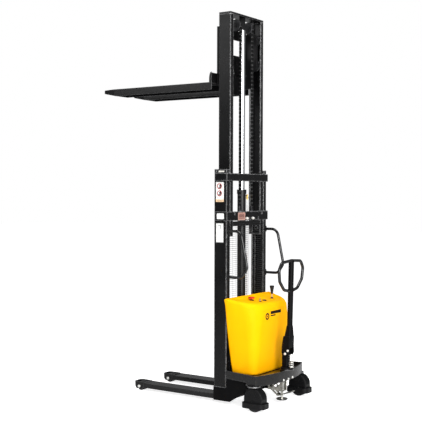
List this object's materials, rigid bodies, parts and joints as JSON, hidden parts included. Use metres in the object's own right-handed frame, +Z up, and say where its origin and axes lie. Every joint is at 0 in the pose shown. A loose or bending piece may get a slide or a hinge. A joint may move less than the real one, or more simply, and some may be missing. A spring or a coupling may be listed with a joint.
{
  "type": "walkie stacker",
  "caption": "Walk-behind semi-electric stacker with a two-stage mast, raised forks, roller support legs, a yellow power-unit cover, casters and a loop tiller.",
  "frame": {"origin": "on the floor, at the middle of the part's plan bounding box", "axes": "+Z up, -Y the way the forks point, +X the machine's left-hand side"},
  "size_m": [0.816, 1.7215, 3.061],
  "materials": {
    "black_steel": "satin powder coat",
    "wear_plastic": "natural",
    "chain_steel": "oiled",
    "machined_steel": "machined",
    "zinc_steel": "zinc plated",
    "chrome_rod": "polished",
    "brass_line": "satin",
    "hose_rubber": "matte",
    "black_plastic": "moulded",
    "polyurethane": "satin",
    "yellow_cover": "moulded, semi gloss",
    "red_plastic": "gloss",
    "key_steel": "plated",
    "battery_case": "matte",
    "charger_alloy": "anodised",
    "tank_plastic": "translucent",
    "unit_steel": "satin",
    "label_film": "film"
  },
  "bodies": {
    "chassis": {"outer_mast_left": "black_steel", "outer_mast_right": "black_steel", "mast_wear_pads": "wear_plastic", "upper_crossbar": "black_steel", "lower_crossbar": "black_steel", "chain_anchors": "zinc_steel", "rear_chains": "chain_steel", "lift_cylinder": "black_steel", "return_line": "brass_line", "pressure_hose": "hose_rubber", "mast_foot_left": "black_steel", "mast_foot_right": "black_steel", "support_leg_left": "black_steel", "support_leg_right": "black_steel", "deck_skirt": "black_steel", "deck_plate": "black_steel", "safety_mesh": "black_steel", "mast_back_plate": "black_steel", "grab_handles": "black_steel", "body_cover": "yellow_cover", "panel_fittings": "black_plastic", "battery": "battery_case", "charger": "charger_alloy", "oil_tank": "tank_plastic", "hydraulic_unit": "unit_steel", "floor_lock_bracket": "zinc_steel", "lock_spring": "zinc_steel", "bright_bolts": "zinc_steel", "labels": "label_film"},
    "inner_mast": {"inner_channel_left": "black_steel", "inner_channel_right": "black_steel", "inner_mast_ties": "black_steel", "lift_rod": "chrome_rod", "pulley_bracket": "black_steel", "chain_wraps": "chain_steel", "front_chains": "chain_steel"},
    "pulleys": {"chain_pulleys": "machined_steel"},
    "mast_rollers": {"inner_mast_rollers": "machined_steel"},
    "carriage": {"carriage_frame": "black_steel", "fork_left": "black_steel", "fork_right": "black_steel", "carriage_chain_ends": "zinc_steel"},
    "upper_rollers": {"carriage_rollers_upper": "machined_steel"},
    "lower_rollers": {"carriage_rollers_lower": "machined_steel"},
    "caster_swivel_left": {"caster_housing_left": "black_plastic"},
    "caster_swivel_right": {"caster_housing_right": "black_plastic"},
    "caster_roll_left": {"caster_wheel_left": "polyurethane"},
    "caster_roll_right": {"caster_wheel_right": "polyurethane"},
    "load_roll_left": {"load_roller_left": "polyurethane"},
    "load_roll_right": {"load_roller_right": "polyurethane"},
    "tiller_head": {"tiller_turret": "black_steel", "tiller_spring": "zinc_steel"},
    "tiller": {"tiller_pole": "black_steel", "tiller_loop": "black_steel", "tiller_bolts": "zinc_steel"},
    "pedal": {"lock_pedal": "zinc_steel"},
    "brake_pad": {"lock_pad": "zinc_steel"},
    "lever": {"lift_lever": "black_plastic"},
    "stop_button": {"estop_button": "red_plastic"},
    "key_body": {"key": "key_steel"}
  },
  "joints": [
    {"name": "mast_lift", "type": "slide", "parent": "chassis", "child": "inner_mast", "axis": [0, 0, 1], "range_m": [-1.215, 0], "deforming": ["rear_chains"]},
    {"name": "carriage_lift", "type": "slide", "parent": "inner_mast", "child": "carriage", "axis": [0, 0, 1], "range_m": [-1.215, 0], "deforming": ["front_chains"]},
    {"name": "pulley_spin", "type": "hinge", "parent": "inner_mast", "child": "pulleys", "pos_m": [0, 0.378, 2.977], "axis": [1, 0, 0], "range_deg": [0, 1773.4]},
    {"name": "mast_roller_spin", "type": "hinge", "parent": "inner_mast", "child": "mast_rollers", "pos_m": [0, 0.372, 1.367], "axis": [1, 0, 0], "range_deg": [0, 1584.1]},
    {"name": "upper_roller_spin", "type": "hinge", "parent": "carriage", "child": "upper_rollers", "pos_m": [0, 0.373, 2.896], "axis": [1, 0, 0], "range_deg": [-1659.5, 0]},
    {"name": "lower_roller_spin", "type": "hinge", "parent": "carriage", "child": "lower_rollers", "pos_m": [0, 0.373, 2.69], "axis": [1, 0, 0], "range_deg": [0, 1659.5]},
    {"name": "caster_swivel_l", "type": "hinge", "parent": "chassis", "child": "caster_swivel_left", "pos_m": [0.346, 0.71, 0.18], "axis": [0, 0, 1], "continuous": true},
    {"name": "caster_swivel_r", "type": "hinge", "parent": "chassis", "child": "caster_swivel_right", "pos_m": [-0.346, 0.71, 0.18], "axis": [0, 0, 1], "continuous": true},
    {"name": "caster_roll_l", "type": "hinge", "parent": "caster_swivel_left", "child": "caster_roll_left", "pos_m": [0.346, 0.724, 0.07], "axis": [1, 0, 0], "continuous": true},
    {"name": "caster_roll_r", "type": "hinge", "parent": "caster_swivel_right", "child": "caster_roll_right", "pos_m": [-0.346, 0.724, 0.07], "axis": [1, 0, 0], "continuous": true},
    {"name": "load_roll_l", "type": "hinge", "parent": "chassis", "child": "load_roll_left", "pos_m": [0.201, -0.464, 0.037], "axis": [1, 0, 0], "continuous": true},
    {"name": "load_roll_r", "type": "hinge", "parent": "chassis", "child": "load_roll_right", "pos_m": [-0.201, -0.464, 0.037], "axis": [1, 0, 0], "continuous": true},
    {"name": "tiller_swivel", "type": "hinge", "parent": "chassis", "child": "tiller_head", "pos_m": [0, 0.8, 0.29], "axis": [0, 0, 1], "range_deg": [-80, 80]},
    {"name": "tiller_tilt", "type": "hinge", "parent": "tiller_head", "child": "tiller", "pos_m": [0, 0.808, 0.404], "axis": [-1, 0, 0], "range_deg": [0, 75], "stiffness_Nm_per_rad": 34, "springref_deg": -20.05, "deforming": ["tiller_spring"]},
    {"name": "lock_pedal_press", "type": "hinge", "parent": "chassis", "child": "pedal", "pos_m": [0, 0.658, 0.12], "axis": [-1, 0, 0], "range_deg": [0, 19.5], "stiffness_Nm_per_rad": 12, "springref_deg": -20.05},
    {"name": "lock_pad_slide", "type": "slide", "parent": "chassis", "child": "brake_pad", "axis": [0, 0, 1], "range_m": [-0.0345, 0], "deforming": ["lock_spring"]},
    {"name": "lift_lever_tilt", "type": "hinge", "parent": "chassis", "child": "lever", "pos_m": [-0.132, 0.586, 0.772], "axis": [1, 0, 0], "range_deg": [-12, 12], "stiffness_Nm_per_rad": 2},
    {"name": "estop_press", "type": "slide", "parent": "chassis", "child": "stop_button", "axis": [0, 0, 1], "range_m": [-0.006, 0]},
    {"name": "key_turn", "type": "hinge", "parent": "chassis", "child": "key_body", "pos_m": [0.05, 0.584, 0.795], "axis": [0, 0, 1], "range_deg": [0, 60]}
  ],
  "couplings": [
    {"joint": "carriage_lift", "follows": "mast_lift", "ratio": 1},
    {"joint": "pulley_spin", "follows": "mast_lift", "rad_per_m": -25.445},
    {"joint": "mast_roller_spin", "follows": "mast_lift", "rad_per_m": -22.727},
    {"joint": "upper_roller_spin", "follows": "mast_lift", "rad_per_m": 23.809},
    {"joint": "lower_roller_spin", "follows": "mast_lift", "rad_per_m": -23.809},
    {"joint": "lock_pad_slide", "follows": "lock_pedal_press", "m_per_rad": -0.1}
  ]
}
